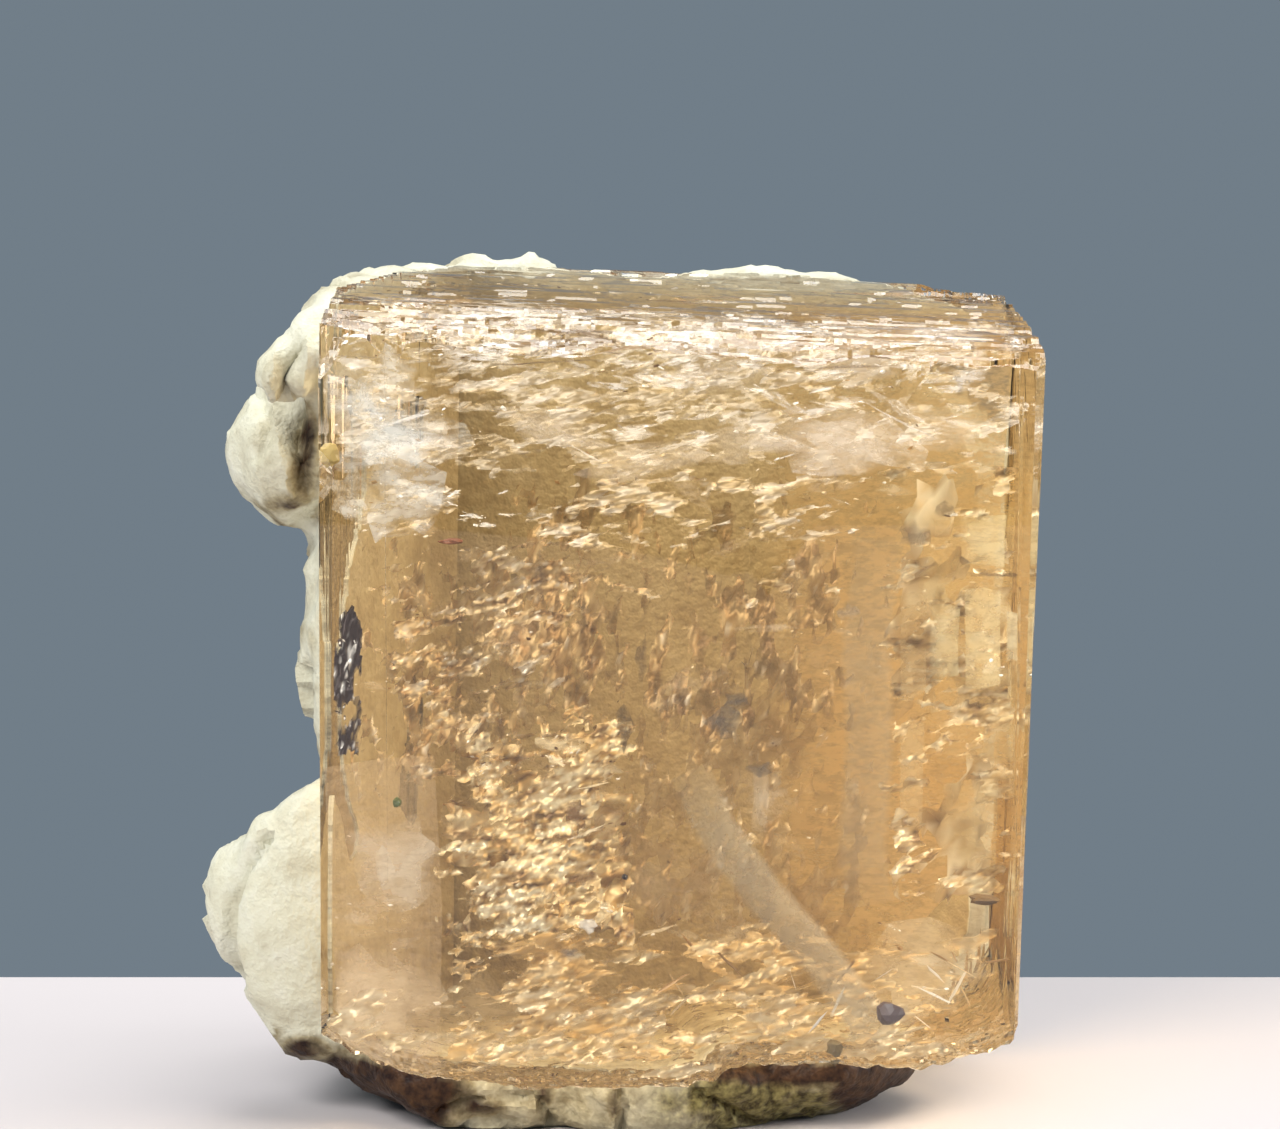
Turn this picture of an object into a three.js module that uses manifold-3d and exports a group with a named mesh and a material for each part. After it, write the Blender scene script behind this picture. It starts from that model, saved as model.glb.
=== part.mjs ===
// A rough topaz crystal on its albite matrix: one clear blocky prism, broken at the foot and
// stepped by cleavage at the top, with white feldspar grown over its back, its left edge and
// its underside. Millimetres, +Z up, the clear front face towards -Y, resting on Z = 0.
import * as THREE from "three";
import { mergeVertices } from "three/addons/utils/BufferGeometryUtils.js";
import Module from "manifold-3d";

const wasm = await Module();
wasm.setup();

// Driving dimensions of the crystal
const CRYSTAL_WIDTH = 25.4;
const CRYSTAL_DEPTH = 18.2;
const CRYSTAL_TOP = 30.4;
const CRYSTAL_FOOT = 2.7;
const CRYSTAL_MIDDLE = (CRYSTAL_TOP + CRYSTAL_FOOT) / 2;

// Slope of the top, in degrees
const TOP_FALL_TO_RIGHT = 2.7;
const TOP_FALL_TO_FRONT = 0.6;

// Clearance between the crystal and the feldspar that grew on it
const GROWTH_GAP = 0.3;

// Larger than the specimen, for the blocks that cut it
const BEYOND = 80;

// Slivers left by joining and cutting that are finer than this are merged away.
const SLIVER = 0.04;

const HALF_WIDTH = CRYSTAL_WIDTH / 2;
const HALF_DEPTH = CRYSTAL_DEPTH / 2;

// Prism faces: bearing of the outward normal in degrees (0 is +X, -90 is the front), distance of
// the face from the long axis at mid height, and the degrees that the normal leans up from level.
const PRISM_FACES = [
  { bearing: -90.4, reach: HALF_DEPTH - 0.1, lean: 0.3 },
  { bearing: -32, reach: HALF_WIDTH + 2.45, lean: -1.0 },
  { bearing: 1.8, reach: HALF_WIDTH - 0.55, lean: -1.9 },
  { bearing: 52, reach: HALF_WIDTH - 0.65, lean: -4.1 },
  { bearing: 91.2, reach: HALF_DEPTH, lean: 0 },
  { bearing: 128, reach: HALF_WIDTH - 0.6, lean: 0.5 },
  { bearing: 158, reach: HALF_WIDTH - 1.1, lean: 0.4 },
  { bearing: 179, reach: HALF_WIDTH - 0.2, lean: 0.2 },
];

// Cleavage steps let down into the top, from the back of the face to its front edge: where
// each riser stands, how deep it goes, how far it slants across the face, and how ragged it is.
const CLEAVAGE_STEPS = [
  { riser: 6.3, drop: 0.06, slant: -0.05, ragged: 0.9, seed: 1 },
  { riser: 2.6, drop: 0.12, slant: 0.07, ragged: 1.1, seed: 2 },
  { riser: -1.2, drop: 0.18, slant: -0.03, ragged: 0.9, seed: 3 },
  { riser: -4.4, drop: 0.25, slant: 0.05, ragged: 0.8, seed: 4 },
  { riser: -6.4, drop: 0.33, slant: 0.03, ragged: 0.6, seed: 5 },
  { riser: -7.7, drop: 0.45, slant: 0.03, ragged: 0.4, seed: 6 },
  { riser: -8.5, drop: 0.65, slant: 0.02, ragged: 0.25, seed: 7 },
];
const STEP_POINTS = 22;

// Lower edge of the crystal as the break left it, from left to right across the front
const BROKEN_EDGE = [
  [-HALF_WIDTH - 1, 4.9],
  [-HALF_WIDTH + 0.6, 4.0],
  [-10.6, 3.3],
  [-8.4, 2.95],
  [-6.3, CRYSTAL_FOOT],
  [-0.7, CRYSTAL_FOOT],
  [0.1, 3.0],
  [0.5, 2.95],
  [1.1, 3.4],
  [1.8, 3.6],
  [7.9, 3.5],
  [10.0, 3.9],
  [11.3, 4.6],
  [12.1, 5.9],
];
// Degrees that the break is turned about the long axis
const BREAK_TURN = 5;

// Conchoidal chips: centre of the scooping sphere and its radius
const CHIPS = [
  { at: [HALF_WIDTH + 1.6, -HALF_DEPTH - 2.6, 2.2], radius: 3.4 },
  { at: [-HALF_WIDTH - 0.6, -HALF_DEPTH - 0.7, 24.8], radius: 1.5 },
  { at: [-HALF_WIDTH - 0.35, -HALF_DEPTH - 0.5, 30.4], radius: 1.5 },
  { at: [HALF_WIDTH + 1.1, HALF_DEPTH - 3.4, 30.9], radius: 2.0 },
  { at: [3.2, -HALF_DEPTH - 3.0, 0.6], radius: 4.3 },
];

// Lumps of white feldspar: centre, half sizes along X, Y and Z, turn about Y in degrees, height
// of the bumps as a share of the size, and how finely the skin is divided.
const FELDSPAR_LUMPS = [
  // Nodule beside the upper left edge
  { at: [-13.9, 5.6, 24.2], half: [2.7, 3.4, 2.9], turn: 8, rough: 0.14, fine: 4 },
  { at: [-12.9, 4.4, 27.0], half: [2.2, 3.0, 2.4], turn: 24, rough: 0.12, fine: 4 },
  { at: [-10.4, 7.6, 28.4], half: [3.0, 3.2, 1.9], turn: -24, rough: 0.1, fine: 4 },
  // Rounded plates beside the lower left edge
  { at: [-12.9, -0.4, 7.4], half: [3.65, 2.1, 5.3], turn: 0, rough: 0.07, fine: 5 },
  { at: [-15.0, 1.0, 7.3], half: [2.5, 2.0, 3.2], turn: -20, rough: 0.08, fine: 4 },
  { at: [-11.6, -0.2, 3.9], half: [2.3, 2.2, 1.8], turn: 24, rough: 0.12, fine: 3 },
  { at: [-11.2, 4.6, 6.4], half: [2.9, 4.6, 5.4], turn: 4, rough: 0.14, fine: 4 },
  // Thin crust that joins the two along the left side
  { at: [-11.9, 4.0, 16.6], half: [1.9, 3.6, 7.0], turn: 1, rough: 0.12, fine: 4 },
  { at: [-11.5, 6.6, 20.6], half: [2.4, 3.4, 4.2], turn: -6, rough: 0.16, fine: 4 },
  // Mass behind the crystal
  { at: [-7.0, 10.4, 8.4], half: [6.5, 4.3, 9.4], turn: 5, rough: 0.11, fine: 5 },
  { at: [-6.4, 10.2, 20.4], half: [6.8, 3.9, 9.2], turn: -6, rough: 0.12, fine: 5 },
  { at: [1.2, 10.6, 13.2], half: [7.4, 3.6, 10.6], turn: 10, rough: 0.13, fine: 5 },
  { at: [2.8, 9.8, 23.6], half: [6.2, 3.0, 6.6], turn: -10, rough: 0.12, fine: 4 },
  { at: [5.2, 9.8, 5.8], half: [5.0, 3.3, 6.0], turn: 8, rough: 0.13, fine: 4 },
  { at: [9.6, 8.3, 18.0], half: [2.7, 3.1, 9.6], turn: -5, rough: 0.12, fine: 5 },
  { at: [9.2, 8.2, 8.2], half: [2.6, 3.0, 6.0], turn: 3, rough: 0.12, fine: 4 },
  // Rims that rise a little over the back edge of the top
  { at: [-6.6, 9.9, 29.1], half: [4.0, 1.8, 1.7], turn: 4, rough: 0.12, fine: 4 },
  { at: [4.4, 9.8, 29.1], half: [3.8, 1.5, 1.65], turn: 2, rough: 0.12, fine: 4 },
  // Foot under the crystal
  { at: [-6.9, 0.2, 1.5], half: [5.3, 4.9, 2.5], turn: 8, rough: 0.1, fine: 4 },
  { at: [-0.6, -0.4, 1.5], half: [6.4, 4.6, 2.6], turn: 0, rough: 0.11, fine: 4 },
  { at: [4.6, 0.8, 1.9], half: [4.4, 4.8, 2.4], turn: -10, rough: 0.11, fine: 4 },
  { at: [-1.4, 7.4, 1.4], half: [10.0, 6.6, 3.8], turn: 0, rough: 0.08, fine: 4 },
];

// Rough breaks across the back, where the piece came off the wall of its pocket: outward
// normal and a point that the break passes through
const WALL_BREAKS = [
  { normal: [0.05, 1, 0.03], through: [-1.0, 13.7, 13.0] },
  { normal: [-0.5, 1, 0.02], through: [-9.5, 12.9, 13.0] },
  { normal: [0.45, 1, 0.1], through: [5.5, 12.8, 13.0] },
  { normal: [0.0, 1, 0.26], through: [-2.0, 13.4, 23.0] },
  { normal: [0.1, 1, -0.32], through: [0.0, 13.6, 4.0] },
];
// Size of the block that breaks the wall off, its cells along a side, and how uneven it is
const BREAK_SPAN = 64;
const BREAK_CELLS = 30;
const BREAK_RELIEF = 0.75;

// Bumps on the feldspar repeat about this often, per millimetre.
const BUMP_PITCH = 0.42;

// Finish of the two minerals
const TOPAZ = { color: 0xd9a86a, roughness: 0.12, metalness: 0, transparent: true, opacity: 0.75 };
const ALBITE = { color: 0xe9e5d0, roughness: 0.6, metalness: 0 };

const radians = THREE.MathUtils.degToRad;

// A repeatable scatter value from 0 to 1 for a point of a whole-number grid
function scatter(i, j, k) {
  const wave = Math.sin(i * 127.1 + j * 311.7 + k * 74.7) * 43758.5453;
  return wave - Math.floor(wave);
}

// Smooth noise from -1 to 1
function noise(x, y, z) {
  const [i, j, k] = [Math.floor(x), Math.floor(y), Math.floor(z)];
  const ease = (t) => t * t * (3 - 2 * t);
  const [u, v, w] = [ease(x - i), ease(y - j), ease(z - k)];
  const mix = THREE.MathUtils.lerp;
  const edge = (b, c) => mix(scatter(i, j + b, k + c), scatter(i + 1, j + b, k + c), u);
  const sheet = (c) => mix(edge(0, c), edge(1, c), v);
  return 2 * mix(sheet(0), sheet(1), w) - 1;
}

// A closed three.js geometry as a solid that can be joined and cut
function solidOf(geometry) {
  const bare = geometry.clone();
  bare.deleteAttribute("normal");
  bare.deleteAttribute("uv");
  const merged = mergeVertices(bare, 1e-4);
  const vertProperties = new Float32Array(merged.attributes.position.array);
  const triVerts = new Uint32Array(merged.index.array);
  return new wasm.Manifold(new wasm.Mesh({ numProp: 3, vertProperties, triVerts }));
}

// A solid as a three.js geometry with flat-shaded faces
function geometryOf(solid) {
  const mesh = solid.getMesh();
  const indexed = new THREE.BufferGeometry();
  indexed.setAttribute("position", new THREE.BufferAttribute(mesh.vertProperties, mesh.numProp));
  indexed.setIndex(new THREE.BufferAttribute(mesh.triVerts, 1));
  const faceted = indexed.toNonIndexed();
  faceted.computeVertexNormals();
  return faceted;
}

function blockSolid(width, depth, height, place) {
  return solidOf(new THREE.BoxGeometry(width, depth, height).applyMatrix4(place));
}

// Takes off everything beyond a plane, given its outward normal and a point on it
function cutBeyond(solid, normal, point) {
  const turn = new THREE.Quaternion().setFromUnitVectors(new THREE.Vector3(0, 0, 1), normal);
  const centre = point.clone().addScaledVector(normal, BEYOND / 2);
  const place = new THREE.Matrix4().compose(centre, turn, new THREE.Vector3(1, 1, 1));
  return solid.subtract(blockSolid(2 * BEYOND, 2 * BEYOND, BEYOND, place));
}

// Frame of the top face: its origin on the long axis, tilted as the face tilts
function topFrame() {
  const tilt = new THREE.Euler(radians(TOP_FALL_TO_FRONT), radians(TOP_FALL_TO_RIGHT), 0);
  return new THREE.Matrix4().makeRotationFromEuler(tilt).setPosition(0, 0, CRYSTAL_TOP);
}

// The plain prism that the crystal was before it was stepped, broken and chipped, with every
// face moved out by grow
function prismSolid(grow = 0) {
  const high = CRYSTAL_TOP - CRYSTAL_FOOT;
  const middle = new THREE.Vector3(0, 0, CRYSTAL_MIDDLE);
  const block = new THREE.Matrix4().setPosition(middle);
  let solid = blockSolid(BEYOND, BEYOND, high + BEYOND / 2, block);
  for (const { bearing, reach, lean } of PRISM_FACES) {
    const [turn, rise] = [radians(bearing), radians(lean)];
    const level = new THREE.Vector3(Math.cos(turn), Math.sin(turn), 0);
    const normal = level.clone().multiplyScalar(Math.cos(rise)).setZ(Math.sin(rise));
    solid = cutBeyond(solid, normal, middle.clone().addScaledVector(level, reach + grow));
  }
  const up = new THREE.Vector3(0, 0, 1).transformDirection(topFrame());
  solid = cutBeyond(solid, up, new THREE.Vector3(0, 0, CRYSTAL_TOP + grow));
  const down = new THREE.Vector3(0, 0, -1);
  return cutBeyond(solid, down, new THREE.Vector3(0, 0, CRYSTAL_FOOT - grow));
}

// Block that lets one cleavage step down into the top, in front of a ragged riser
function stepCutter({ riser, drop, slant, ragged, seed }) {
  const outline = new THREE.Shape();
  const side = HALF_WIDTH + 2;
  const front = -HALF_DEPTH - 2;
  outline.moveTo(-side, front);
  outline.lineTo(side, front);
  for (let i = 0; i <= STEP_POINTS; i++) {
    const x = side - (2 * side * i) / STEP_POINTS;
    const wander = noise(x * 0.35, seed * 7.3, 0) + 0.45 * noise(x * 1.3, seed * 3.1, 5);
    outline.lineTo(x, riser + slant * x + ragged * wander);
  }
  const block = new THREE.ExtrudeGeometry(outline, { depth: 4, bevelEnabled: false });
  return solidOf(block.translate(0, 0, -drop).applyMatrix4(topFrame()));
}

// Everything under the broken lower edge, as one block through the crystal, moved down by sink
function breakCutter(sink = 0) {
  const outline = new THREE.Shape();
  const side = BEYOND / 2;
  const low = CRYSTAL_FOOT - 6;
  outline.moveTo(-side, low);
  outline.lineTo(-side, BROKEN_EDGE[0][1] + 1);
  for (const [x, z] of BROKEN_EDGE) outline.lineTo(x, z);
  outline.lineTo(side, BROKEN_EDGE.at(-1)[1] + 1);
  outline.lineTo(side, low);
  const block = new THREE.ExtrudeGeometry(outline, { depth: BEYOND, bevelEnabled: false });
  block.rotateX(Math.PI / 2).translate(0, BEYOND / 2, -sink);
  return solidOf(block.rotateZ(radians(BREAK_TURN)));
}

function chipCutter({ at, radius }) {
  const ball = new THREE.IcosahedronGeometry(radius, 5);
  return solidOf(ball.translate(...at));
}

function topazSolid() {
  let solid = prismSolid();
  for (const step of CLEAVAGE_STEPS) solid = solid.subtract(stepCutter(step));
  solid = solid.subtract(breakCutter());
  for (const chip of CHIPS) solid = solid.subtract(chipCutter(chip));
  return solid.simplify(SLIVER);
}

// One rounded lump of feldspar with a bumpy skin
function lumpSolid({ at, half, turn, rough, fine }) {
  const lump = new THREE.IcosahedronGeometry(1, fine);
  const points = lump.attributes.position;
  const centre = new THREE.Vector3(...at);
  const stretch = new THREE.Vector3(...half);
  const lean = new THREE.Quaternion().setFromAxisAngle(new THREE.Vector3(0, 1, 0), radians(turn));
  const point = new THREE.Vector3();
  for (let i = 0; i < points.count; i++) {
    point.fromBufferAttribute(points, i).multiply(stretch).applyQuaternion(lean);
    const place = point.clone().add(centre).multiplyScalar(BUMP_PITCH);
    const bump = noise(place.x, place.y, place.z);
    const ripple = noise(2.6 * place.x + 9, 2.6 * place.y, 2.6 * place.z);
    point.multiplyScalar(1 + rough * (bump + 0.5 * ripple)).add(centre);
    points.setXYZ(i, point.x, point.y, point.z);
  }
  return solidOf(lump);
}

// Block with an uneven under side, which leaves a rough break where it is taken off
function wallCutter({ normal, through }) {
  const block = new THREE.BoxGeometry(
    BREAK_SPAN, BREAK_SPAN, BREAK_SPAN / 2, BREAK_CELLS, BREAK_CELLS, 1);
  block.translate(0, 0, BREAK_SPAN / 4);
  const points = block.attributes.position;
  for (let i = 0; i < points.count; i++) {
    const [x, y, z] = [points.getX(i) + through[0], points.getY(i) + through[2], points.getZ(i)];
    const swell = noise(0.23 * x, 0.23 * y, through[1]) + 0.6 * noise(0.6 * x, 0.6 * y, 4);
    if (z < BREAK_SPAN / 4) points.setZ(i, BREAK_RELIEF * swell);
  }
  const outward = new THREE.Vector3(...normal).normalize();
  const turn = new THREE.Quaternion().setFromUnitVectors(new THREE.Vector3(0, 0, 1), outward);
  return solidOf(block.applyQuaternion(turn).translate(...through));
}

function albiteSolid() {
  const lumps = FELDSPAR_LUMPS.map(lumpSolid);
  const mass = lumps.reduce((joined, lump) => joined.add(lump));
  const room = prismSolid(GROWTH_GAP).subtract(breakCutter(GROWTH_GAP));
  const grown = mass.subtract(room);
  const floor = new THREE.Vector3(0, 0, 0);
  let solid = cutBeyond(grown, new THREE.Vector3(0, 0, -1), floor);
  for (const wall of WALL_BREAKS) solid = solid.subtract(wallCutter(wall));
  return solid.simplify(SLIVER);
}

function pieceOf(name, solid, finish) {
  const piece = new THREE.Mesh(geometryOf(solid), new THREE.MeshStandardMaterial(finish));
  piece.name = name;
  return piece;
}

// The specimen stands with the middle of its outer box over the origin.
const specimen = new THREE.Group();
specimen.name = "topaz_specimen";
specimen.add(pieceOf("topaz_crystal", topazSolid(), TOPAZ));
specimen.add(pieceOf("albite_matrix", albiteSolid(), ALBITE));
const outer = new THREE.Box3().setFromObject(specimen);
const middle = outer.getCenter(new THREE.Vector3());
for (const piece of specimen.children) piece.position.set(-middle.x, -middle.y, -outer.min.z);

export default specimen;
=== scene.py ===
"""Looks of a topaz crystal on its albite matrix, in metres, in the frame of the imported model."""
import math
import random
from contextlib import contextmanager
from dataclasses import dataclass, replace

import bmesh
import bpy
from mathutils import Matrix, Vector, noise
from mathutils.bvhtree import BVHTree


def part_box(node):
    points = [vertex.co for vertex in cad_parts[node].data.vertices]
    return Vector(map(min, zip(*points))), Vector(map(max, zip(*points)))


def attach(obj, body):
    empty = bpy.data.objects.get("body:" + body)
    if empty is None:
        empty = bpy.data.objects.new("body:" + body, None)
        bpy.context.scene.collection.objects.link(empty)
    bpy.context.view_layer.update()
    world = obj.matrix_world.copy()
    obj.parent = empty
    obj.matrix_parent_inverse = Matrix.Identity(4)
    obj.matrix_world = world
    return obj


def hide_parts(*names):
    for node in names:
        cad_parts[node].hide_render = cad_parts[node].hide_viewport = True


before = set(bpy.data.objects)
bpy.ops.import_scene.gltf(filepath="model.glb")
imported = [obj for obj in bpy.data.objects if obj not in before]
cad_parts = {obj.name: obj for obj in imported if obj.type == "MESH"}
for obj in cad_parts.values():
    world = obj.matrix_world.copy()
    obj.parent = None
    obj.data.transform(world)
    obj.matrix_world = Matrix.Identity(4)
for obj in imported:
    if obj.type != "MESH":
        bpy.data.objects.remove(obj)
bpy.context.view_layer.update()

MM = 0.001

# The photograph's camera
IMAGE_WIDTH = 1280
IMAGE_HEIGHT = 1129
FOCAL_PIXELS = 5415
SENSOR_WIDTH_MM = 36
CAMERA_RISE = math.radians(8)
CAMERA_DISTANCE = 190 * MM
CAMERA_AIM = Vector((1.07, -11.57, 21.7)) * MM

# Optics of topaz
TOPAZ_IOR = 1.62
TOPAZ_TINT = (0.833, 0.60, 0.17, 1)
TOPAZ_DENSITY = 48
BROKEN_ROUGHNESS = 0.42
ETCHED_ROUGHNESS = 0.09

# The crystal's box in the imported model
CRYSTAL_LOW, CRYSTAL_HIGH = (Vector(corner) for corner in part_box("topaz_crystal"))
FRONT = CRYSTAL_LOW.y

# Cleavage terraces on the top and the broken under side: lengths in millimetres, and the steps of the
# search for the end's height
RELIEF_CELL = 0.15
RELIEF_MARGIN = 0.6
TERRACE_STEP = 0.045
TERRACE_DEPTH = 0.34
BREAK_DEPTH = 0.4
PROBE_HEIGHT = 40
RETREAT_STEPS = 40
RETREAT_PARTS = 60
CUTTER_HEIGHT = 3

# Feldspar skin: lengths in millimetres, plates for each millimetre, shares and strengths
SKIN_VOXEL = 0.26
CONTACT_REACH = 0.8
CONTACT_BITE = 0.08
CONTACT_FACING = 0.2
# Strengths of painted shade where the feldspar meets the crystal, and where it meets it at the foot
CONTACT_SHADE = 0.15
FOOT_SHADE = 0.3
FOOT_HEIGHT = 4
FLAT_HEIGHT = 0.1
SWELL_HEIGHT = 0.16
GRAIN_HEIGHT = 0.16
SEEN_FACING = 0.4
LARGE_PLATES = 0.2
LARGE_HEIGHT = 1.3
SMALL_PLATES = 0.55
SMALL_HEIGHT = 0.4
CRACK_WIDTH = 0.14
CRACK_DEPTH = 0.35
CREASE_ANGLE = math.radians(38)

# Faces that are packed one by one are joined where their corners lie closer than this.
JOIN_DISTANCE = 0.0001 * MM

# Seeds of the feldspar's plates and of everything inside the crystal
PLATE_SEED = 7
INCLUSION_SEED = 4


# Shared helpers

def held(value):
    """A value held between 0 and 1."""
    return max(0, min(1, value))


def camera_axes():
    """Right, up and forward of the photograph's camera."""
    forward = Vector((0, math.cos(CAMERA_RISE), -math.sin(CAMERA_RISE)))
    right = Vector((1, 0, 0))
    return right, right.cross(forward), forward


def inside(px, py, depth):
    """Point of the crystal that shows at a pixel, so many millimetres behind the front face."""
    right, up, forward = camera_axes()
    eye = CAMERA_AIM - CAMERA_DISTANCE * forward
    ray = forward + right * ((px - IMAGE_WIDTH / 2) / FOCAL_PIXELS)
    ray = (ray - up * ((py - IMAGE_HEIGHT / 2) / FOCAL_PIXELS)).normalized()
    entry = eye + ray * ((FRONT - eye.y) / ray.y)
    bent = Vector((ray.x / TOPAZ_IOR, 0, ray.z / TOPAZ_IOR))
    bent.y = math.sqrt(1 - bent.length_squared)
    return entry + bent * (depth * MM / bent.y)


def new_object(name, data):
    piece = bpy.data.objects.new(name, data)
    bpy.context.scene.collection.objects.link(piece)
    return piece


def mesh_from(name, points, faces):
    mesh = bpy.data.meshes.new(name)
    mesh.from_pydata([tuple(p) for p in points], [], faces)
    mesh.update()
    return mesh


def evaluated(piece):
    """The mesh of a piece with its modifiers applied."""
    bpy.context.view_layer.update()
    graph = bpy.context.evaluated_depsgraph_get()
    return bpy.data.meshes.new_from_object(piece.evaluated_get(graph))


@contextmanager
def edited(mesh):
    """The points and faces of a mesh, written back once they are changed."""
    body = bmesh.new()
    body.from_mesh(mesh)
    yield body
    body.to_mesh(mesh)
    body.free()


def join_faces(mesh):
    """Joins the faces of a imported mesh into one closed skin."""
    with edited(mesh) as body:
        bmesh.ops.remove_doubles(body, verts=body.verts, dist=JOIN_DISTANCE)


def drop_loose(mesh):
    """Takes the points that no face uses out of a mesh."""
    with edited(mesh) as body:
        loose = [vert for vert in body.verts if not vert.link_faces]
        bmesh.ops.delete(body, geom=loose, context="VERTS")


def tree_of(piece):
    """Search tree over a piece's faces, in the scene's frame."""
    points = [piece.matrix_world @ vertex.co for vertex in piece.data.vertices]
    return BVHTree.FromPolygons(points, [tuple(face.vertices) for face in piece.data.polygons])


def dress(piece, material, smooth=False):
    """Gives a piece its material and its place on the specimen."""
    piece.data.materials.clear()
    piece.data.materials.append(material)
    piece.data.polygons.foreach_set("use_smooth", [smooth] * len(piece.data.polygons))
    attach(piece, "root")


def set_floats(mesh, name, values):
    mesh.attributes.new(name, "FLOAT", "POINT").data.foreach_set("value", values)


def set_colours(mesh, name, colours):
    flat = [channel for colour in colours for channel in (*colour[:3], 1)]
    mesh.attributes.new(name, "FLOAT_COLOR", "POINT").data.foreach_set("color", flat)


class Nodes:
    """A short way to write a material's node tree."""

    def __init__(self, name):
        self.material = bpy.data.materials.new(name)
        self.material.use_nodes = True
        self.tree = self.material.node_tree
        self.tree.nodes.clear()

    def add(self, kind, inputs=None, output=0, **settings):
        """Adds a node with its settings and inputs, and gives one of its outputs."""
        node = self.tree.nodes.new("ShaderNode" + kind)
        for key, value in settings.items():
            setattr(node, key, value)
        for socket, value in (inputs or {}).items():
            if isinstance(value, bpy.types.NodeSocket):
                self.tree.links.new(value, node.inputs[socket])
            else:
                node.inputs[socket].default_value = value
        return node.outputs[output]

    def principled(self, **sockets):
        """The main shader; base_color stands for its socket Base Color, and so on."""
        inputs = {}
        for name, value in sockets.items():
            inputs[name.replace("_", " ").title().replace("Ior", "IOR")] = value
        return self.add("BsdfPrincipled", inputs)

    def noise(self, scale, detail, rough, stretch=(1, 1, 1)):
        """Noise with about scale lumps per millimetre, finer where it is stretched more."""
        place = self.add("Mapping", {
            "Vector": self.add("TexCoord", output="Object"), "Scale": tuple(s / MM for s in stretch)})
        return self.add("TexNoise", {
            "Vector": place, "Scale": scale, "Detail": detail, "Roughness": rough}, "Fac")

    def ramp(self, source, stops):
        """A value turned into greys or colours by stops along it."""
        colour = self.add("ValToRGB", {"Fac": source})
        elements = colour.node.color_ramp.elements
        while len(elements) < len(stops):
            elements.new(0.5)
        for element, (place, value) in zip(elements, stops):
            element.position = place
            element.color = (*value, 1) if isinstance(value, tuple) else (value, value, value, 1)
        return colour

    def attribute(self, name, output="Fac"):
        return self.add("Attribute", output=output, attribute_name=name)

    def mix(self, factor, first, second):
        return self.add("Mix", {0: factor, 6: first, 7: second}, 2, data_type="RGBA")

    def math(self, operation, *values):
        return self.add("Math", dict(enumerate(values)), operation=operation)

    def bump(self, height, strength, distance):
        return self.add("Bump", {"Strength": strength, "Distance": distance, "Height": height})

    def finish(self, shader, volume=None):
        output = self.tree.nodes.new("ShaderNodeOutputMaterial")
        self.tree.links.new(shader, output.inputs["Surface"])
        if volume is not None:
            self.tree.links.new(volume, output.inputs["Volume"])
        return self.material


# Materials

def topaz_material():
    """Clear crystal: plain transmission, IOR and absorption, etched on top and rough where broken."""
    n = Nodes("topaz")
    normal = n.add("TexCoord", output="Normal")
    height = n.math("MULTIPLY_ADD", n.add("SeparateXYZ", {0: normal}, "Z"), 0.5, 0.5)
    rough = n.ramp(height, [
        (0.3, BROKEN_ROUGHNESS), (0.42, 0.0), (0.92, 0.0), (0.985, ETCHED_ROUGHNESS)])
    skin = n.principled(base_color=(1, 1, 1, 1), transmission_weight=1, IOR=TOPAZ_IOR, roughness=rough)
    shadow = n.add("LightPath", output="Is Shadow Ray")
    shell = n.add("MixShader", {0: shadow, 1: skin, 2: n.add("BsdfTransparent")})
    body = n.add("VolumeAbsorption", {"Color": TOPAZ_TINT, "Density": TOPAZ_DENSITY})
    return n.finish(shell, body)


def albite_material():
    """Waxy cream feldspar, stained brown and green, and darkened by painted shade, where the mesh says so.
    """
    n = Nodes("albite")
    broad = n.noise(0.7, 3, 0.6)
    fine = n.noise(2.8, 2, 0.6)
    cream = n.ramp(broad, [
        (0.3, (0.66, 0.61, 0.44)), (0.5, (0.77, 0.74, 0.56)), (0.75, (0.84, 0.82, 0.67))])
    dust_and_shade = n.ramp(fine, [(0.35, (0.30, 0.24, 0.13)), (0.65, (0.52, 0.45, 0.28))])
    brown = n.ramp(fine, [(0.35, (0.014, 0.004, 0.002)), (0.7, (0.075, 0.035, 0.014))])
    green = n.ramp(fine, [(0.35, (0.04, 0.028, 0.008)), (0.7, (0.30, 0.26, 0.10))])
    # Real stains and painted shade together: up to half they grey the cream, past half they brown it.
    stain_and_shade = n.math("MULTIPLY", n.attribute("stain_and_shade"), 2.0)
    colour = n.mix(n.math("MINIMUM", stain_and_shade, 1.0), cream, dust_and_shade)
    colour = n.mix(n.attribute("green"), colour, green)
    colour = n.mix(n.math("MAXIMUM", n.math("SUBTRACT", stain_and_shade, 1.0), 0.0), colour, brown)
    stone = n.principled(
        base_color=colour, roughness=0.5, specular_ior_level=0.25, normal=n.bump(fine, 0.6, 0.2 * MM))
    return n.finish(stone)


def veil_material():
    """Thin hazy films on the cracks inside the crystal."""
    n = Nodes("veil")
    fine = n.ramp(n.noise(3.4, 3, 0.7, (0.4, 1, 1)), [(0.40, 0.1), (0.58, 1.0)])
    veined = n.mix(n.attribute("veined"), (1, 1, 1, 1), fine)
    haze = n.math("MULTIPLY", n.attribute("haze"), veined)
    film = n.principled(base_color=n.attribute("tone", "Color"), roughness=0.5, alpha=haze)
    return n.finish(film)


def facet_material():
    """Crumpled crack faces, half mirror."""
    n = Nodes("facet")
    facet = n.principled(
        base_color=n.attribute("tone", "Color"), metallic=0.4, roughness=0.3, alpha=n.attribute("haze"))
    return n.finish(facet)


def mineral_material():
    """Dark grains caught in the crystal."""
    n = Nodes("mineral")
    grain = n.principled(base_color=n.attribute("tone", "Color"), roughness=0.35)
    return n.finish(grain)


def crumb_material():
    """Bright and dark crumbs along the cracks."""
    n = Nodes("crumb")
    crumb = n.principled(base_color=n.attribute("tone", "Color"), metallic=0.35, roughness=0.3)
    return n.finish(crumb)


# The crystal

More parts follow.
